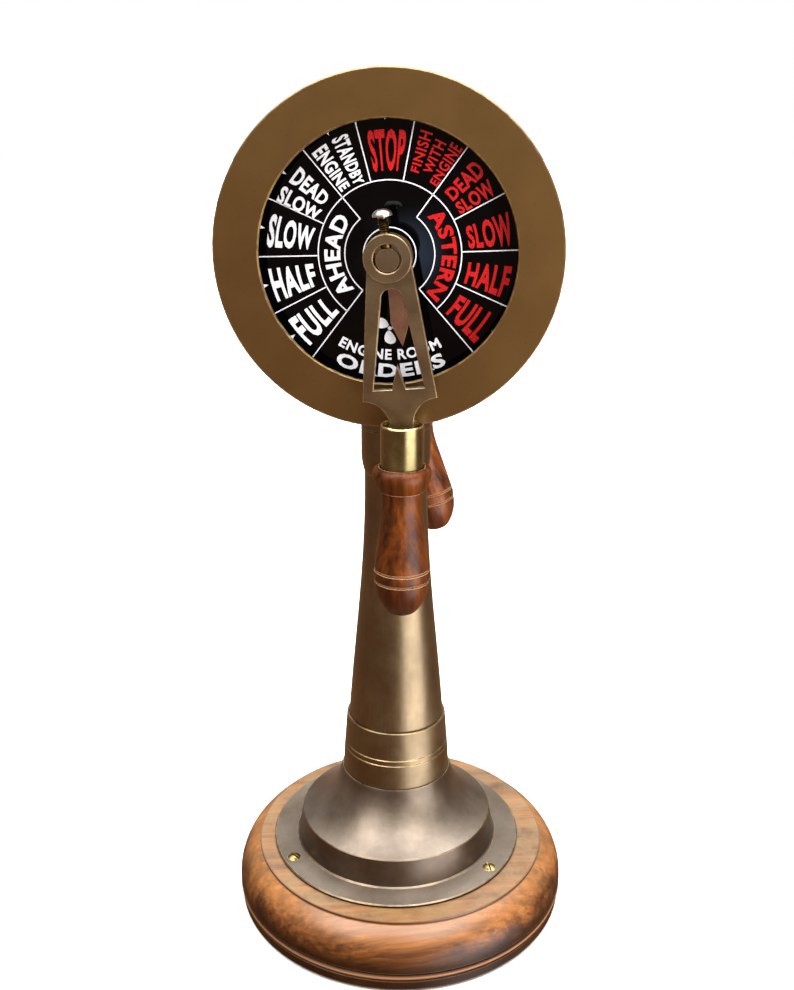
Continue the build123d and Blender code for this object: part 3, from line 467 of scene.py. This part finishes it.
class Print:
    """Flat marks of one colour on one dial, in polar terms."""

    def __init__(self, word, colour):
        self.side = SIDES[word]
        self.offset = PRINT_OFFSET[word]
        self.shape = bmesh.new()
        self.name = f"{word}_dial_{colour}_marks"

    def corner(self, radius, angle):
        turn = math.radians(angle)
        right = self.offset[0] + radius * math.sin(turn)
        up = self.offset[1] + radius * math.cos(turn)
        face = DIAL_FACE + MARK_LIFT
        spot = Vector((DIAL_CENTRE.x + self.side * right, -self.side * face, DIAL_CENTRE.z + up))
        return self.shape.verts.new(spot)

    def outline(self, corners):
        self.shape.faces.new([self.corner(*corner) for corner in corners])

    def arc(self, radius, start, end):
        steps = max(2, int(abs(end - start) / ARC_STEP))
        half = LINE_WIDTH / 2
        rows = []
        for step in range(steps + 1):
            angle = start + (end - start) * step / steps
            rows.append([self.corner(r, angle) for r in (radius - half, radius + half)])
        for a, b in zip(rows, rows[1:]):
            self.shape.faces.new((a[0], a[1], b[1], b[0]))

    def spoke(self, angle, start, end):
        near, far = [math.degrees(LINE_WIDTH / 2 / r) for r in (start, end)]
        self.outline([(start, angle - near), (end, angle - far), (end, angle + far), (start, angle + near)])

    def tick(self, angle):
        feet = [(RIM_FOOT, angle + lean) for lean in (TICK_HALF_ANGLE, -TICK_HALF_ANGLE)]
        self.outline([(RIM_TIP, angle)] + feet)

    def words(self, text, along, start, end, foot, head, bold):
        """Text from start to end along the radius or the angle, with its foot and head on the other."""
        flat = flat_text(text, bold)
        found = {}
        for v in flat.verts:
            run = start + (end - start) * v.co.x
            rise = foot + (head - foot) * v.co.y
            found[v.index] = self.corner(*((run, rise) if along == "radius" else (rise, run)))
        for face in flat.faces:
            self.shape.faces.new([found[v.index] for v in face.verts])
        flat.free()

    def orders(self, rows):
        for text, start, end, foot, head in rows:
            bold = THIN if abs(head - foot) < THIN_UNDER else THICK
            self.words(text, "radius", start * MM, end * MM, foot, head, bold)

    def propeller(self):
        """A plain three-bladed propeller, drawn flat."""
        def spot(right, up):
            up -= PROPELLER_RADIUS
            return math.hypot(right, up), math.degrees(math.atan2(right, up))
        turns = [2 * math.pi * step / PROPELLER_STEPS for step in range(PROPELLER_STEPS)]
        for blade in range(3):
            lean = math.radians(60 + 120 * blade)
            ring = []
            for t in turns:
                out = BLADE_MIDDLE - BLADE_REACH * math.cos(t)
                width = BLADE_HALF_WIDTH * math.sin(t) * (BLADE_FULLNESS - BLADE_TAPER * math.cos(t))
                across = width + BLADE_SKEW * math.cos(t)
                ring.append(spot(out * math.sin(lean) + across * math.cos(lean),
                                 out * math.cos(lean) - across * math.sin(lean)))
            self.outline(ring)
        self.outline([spot(PROPELLER_HUB * math.sin(t), PROPELLER_HUB * math.cos(t)) for t in turns])

    def finish(self, recipe):
        shape = self.shape
        bmesh.ops.remove_doubles(shape, verts=shape.verts, dist=1e-6)
        grown = bmesh.ops.extrude_face_region(shape, geom=shape.faces[:])
        lifted = [v for v in grown["geom"] if isinstance(v, bmesh.types.BMVert)]
        bmesh.ops.translate(shape, verts=lifted, vec=Vector((0, -self.side * MARK_THICKNESS, 0)))
        add_piece(self.name, shape, recipe, "stand")


def add_piece(name, shape, recipe, body):
    """A new piece from a bmesh, riding on a body."""
    bmesh.ops.recalc_face_normals(shape, faces=shape.faces[:])
    mesh = bpy.data.meshes.new(name)
    shape.to_mesh(mesh)
    shape.free()
    mesh.materials.append(recipe.material)
    piece = bpy.data.objects.new(name, mesh)
    bpy.context.scene.collection.objects.link(piece)
    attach(piece, body)
    return piece


def white_marks(word):
    marks = Print(word, "white")
    ends = (SECTORS - 0.5) * SECTOR
    marks.arc(BAND_OUTER, PRINT_TURN - ends, PRINT_TURN + ends)
    marks.arc(HUB_RING, -180, 176)
    for mirror in (-1, 1):
        marks.arc(BAND_INNER, PRINT_TURN + mirror * 1.5 * SECTOR, PRINT_TURN + mirror * ends)
        for number in range(SECTORS):
            angle = PRINT_TURN + mirror * (SECTOR * number + SECTOR / 2)
            marks.spoke(angle, BAND_INNER if number in (1, SECTORS - 1) else BAND_OUTER, LINE_END)
        for number in range(1 if mirror > 0 else 0, SECTORS):      # the top tick is drawn once
            marks.tick(PRINT_TURN + mirror * SECTOR * number)
    marks.orders(LEFT_ORDERS)
    marks.words("AHEAD", "angle", -134, -51, 0.0258, 0.0342, 0.035)
    marks.words("ENGINE ROOM", "angle", 210.0, 150.0, 0.0555, 0.0497, 0.032)
    marks.words("ORDERS", "angle", 207.5, 152.0, 0.0650, 0.0575, 0.038)
    marks.propeller()
    marks.finish(WHITE)


def red_marks(word):
    marks = Print(word, "red")
    marks.words("STOP", "angle", -11.0, 8.4, 0.0415, 0.0620, 0.034)
    marks.orders(RIGHT_ORDERS)
    marks.words("ASTERN", "angle", 45, 135, 0.0270, 0.0350, 0.038)
    marks.finish(RED)


for side_word in SIDES:
    white_marks(side_word)
    red_marks(side_word)


# ---- rough bright bead where each lever's tang is let into its ferrule -----------------------
RIM = brass("rim_brass", "e2c684", "fbeab8", 0.3, worn="fff4d0", clouds=300.0, grit=0.3)
RIM_SEEDS = {"front": 7, "rear": 8}
RIM_RADIUS = 0.01075
RIM_THICK = 0.00045
RIM_ROUGH, RIM_WAVE, RIM_LIFT = 0.00022, 0.00012, 0.00012
RIM_STEPS, RIM_SECTION = 90, 8
FERRULE_HALF_LENGTH = 0.01395


def ferrule_rim(word):
    """A closed ring of uneven thickness round the top of a ferrule."""
    lean = math.radians(GRIP_LEAN[word])
    up = Vector((-math.sin(lean), 0, math.cos(lean)))
    across = Vector((math.cos(lean), 0, math.sin(lean)))
    depth = Vector((0, 1, 0))
    centre = middle(f"{word}_ferrule") + up * FERRULE_HALF_LENGTH
    chance = random.Random(RIM_SEEDS[word])
    shape = bmesh.new()
    rings = []
    for step in range(RIM_STEPS):
        turn = 2 * math.pi * step / RIM_STEPS
        outward = across * math.cos(turn) + depth * math.sin(turn)
        thick = RIM_THICK + RIM_ROUGH * chance.random() + RIM_WAVE * math.sin(5 * turn)
        lift = RIM_LIFT * chance.random()
        ring = []
        for corner in range(RIM_SECTION):
            roll = 2 * math.pi * corner / RIM_SECTION
            out, rise = RIM_RADIUS + thick * math.cos(roll), lift + thick * math.sin(roll)
            ring.append(shape.verts.new(centre + outward * out + up * rise))
        rings.append(ring)
    for ring, following in zip(rings, rings[1:] + rings[:1]):
        for corner in range(RIM_SECTION):
            after = (corner + 1) % RIM_SECTION
            shape.faces.new((ring[corner], following[corner], following[after], ring[after]))
    piece = add_piece(f"{word}_ferrule_rim", shape, RIM, "order_levers")
    for face in piece.data.polygons:
        face.use_smooth = True


for side_word in SIDES:
    ferrule_rim(side_word)


# ---- floor, light and camera: azimuths in degrees clockwise from the front, seen from above --
FLOOR_RADIUS = 14.0
FLOOR_WHITE = (0.6, 2.6)        # radii over which the floor grows plain white
FLOOR_DARK = (0.84, 0.84, 0.835, 1)
FLOOR_LIGHT = (0.88, 0.88, 0.875, 1)
LAMP_HEIGHT = 1.15
LAMP_SIZE = 0.8
LAMP_TARGET = Vector((0, 0, 0.05))
ROOM_LOW = (0.34, 0.17, 0.08, 1)
ROOM_HIGH = (0.32, 0.28, 0.25, 1)
WHITE_LIGHT = (1, 1, 1, 1)
# Bright parts of the room: azimuth, elevation, radii in degrees where the glow is full and where
# it ends, and its colour.
GLOWS = [
    (52, -16, 12, 34, (6.2, 6.3, 6.4, 1)),
    (150, 84, 18, 54, (5.6, 5.8, 5.9, 1)),
    (-4.2, -6.5, 0.3, 2.1, (2.0, 3.0, 4.6, 1)),
]


def floor():
    """Pale floor that only the camera sees, plain white further out."""
    shape = bmesh.new()
    bmesh.ops.create_circle(shape, cap_ends=True, segments=96, radius=FLOOR_RADIUS)
    mesh = bpy.data.meshes.new("floor")
    shape.to_mesh(mesh)
    shape.free()
    recipe = Recipe("floor", Roughness=0.9, Specular_IOR_Level=0.1, Emission_Color=WHITE_LIGHT)
    x, y, _ = recipe.split(recipe.point)
    speck = recipe.noise(recipe.point, 3.0)
    recipe.paint(recipe.ramp(speck, (0.3, FLOOR_DARK), (0.7, FLOOR_LIGHT)))
    recipe.give("Emission Strength", recipe.fade(recipe.radius(x, y), *FLOOR_WHITE))
    mesh.materials.append(recipe.material)
    piece = bpy.data.objects.new("floor", mesh)
    bpy.context.scene.collection.objects.link(piece)
    piece.visible_glossy = False
    piece.visible_diffuse = False
    piece.visible_shadow = False


def soft_box(name, azimuth, distance, power, colour):
    """A square area light facing the foot of the object."""
    light = bpy.data.lights.new(name, "AREA")
    light.shape = "RECTANGLE"
    light.size = light.size_y = LAMP_SIZE
    light.energy = power
    light.color = colour
    lamp = bpy.data.objects.new(name, light)
    turn = math.radians(azimuth)
    lamp.location = (distance * math.sin(turn), -distance * math.cos(turn), LAMP_HEIGHT)
    lamp.rotation_euler = (LAMP_TARGET - lamp.location).to_track_quat("-Z", "Y").to_euler()
    bpy.context.scene.collection.objects.link(lamp)


def surroundings():
    """A dim warm room with soft bright parts, and plain white behind the object."""
    world = bpy.data.worlds.new("studio")
    bpy.context.scene.world = world
    world.use_nodes = True
    world.node_tree.nodes.clear()
    tree = Tree(world.node_tree)
    direction = tree.add("ShaderNodeTexCoord").outputs["Generated"]
    height = tree.split(direction)[2]
    room = tree.mix(tree.fade(height, -0.5, 0.5), ROOM_LOW, ROOM_HIGH)
    for azimuth, elevation, full, end, colour in GLOWS:
        turn, climb = math.radians(azimuth), math.radians(elevation)
        level = math.cos(climb)
        towards = (level * math.sin(turn), -level * math.cos(turn), math.sin(climb))
        ends = [math.cos(math.radians(angle)) for angle in (end, full)]
        room = tree.mix(tree.fade(tree.dot(direction, towards), *ends), room, colour, "ADD")
    seen = tree.add("ShaderNodeLightPath").outputs["Is Camera Ray"]
    lit, plain = [tree.add("ShaderNodeBackground", {"Color": colour, "Strength": 1.0}).outputs[0]
                  for colour in (room, WHITE_LIGHT)]
    both = tree.add("ShaderNodeMixShader", {0: seen, 1: lit, 2: plain}).outputs[0]
    tree.add("ShaderNodeOutputWorld", {"Surface": both})


def camera():
    lens = bpy.data.cameras.new("camera")
    lens.lens = 40.275
    lens.shift_x, lens.shift_y = 0.00098, -0.0092
    viewer = bpy.data.objects.new("camera", lens)
    viewer.location = (0.0521, -0.6230, 0.4839)
    viewer.rotation_euler = (math.radians(71.684), 0.0, math.radians(4.781))
    bpy.context.scene.collection.objects.link(viewer)
    bpy.context.scene.camera = viewer


floor()
surroundings()
soft_box("window_right", 36, 1.0, 9, (1.0, 0.97, 0.93))
soft_box("window_left", -42, 1.05, 11, (1.0, 0.98, 0.96))
camera()
bpy.context.scene.view_settings.view_transform = "Standard"
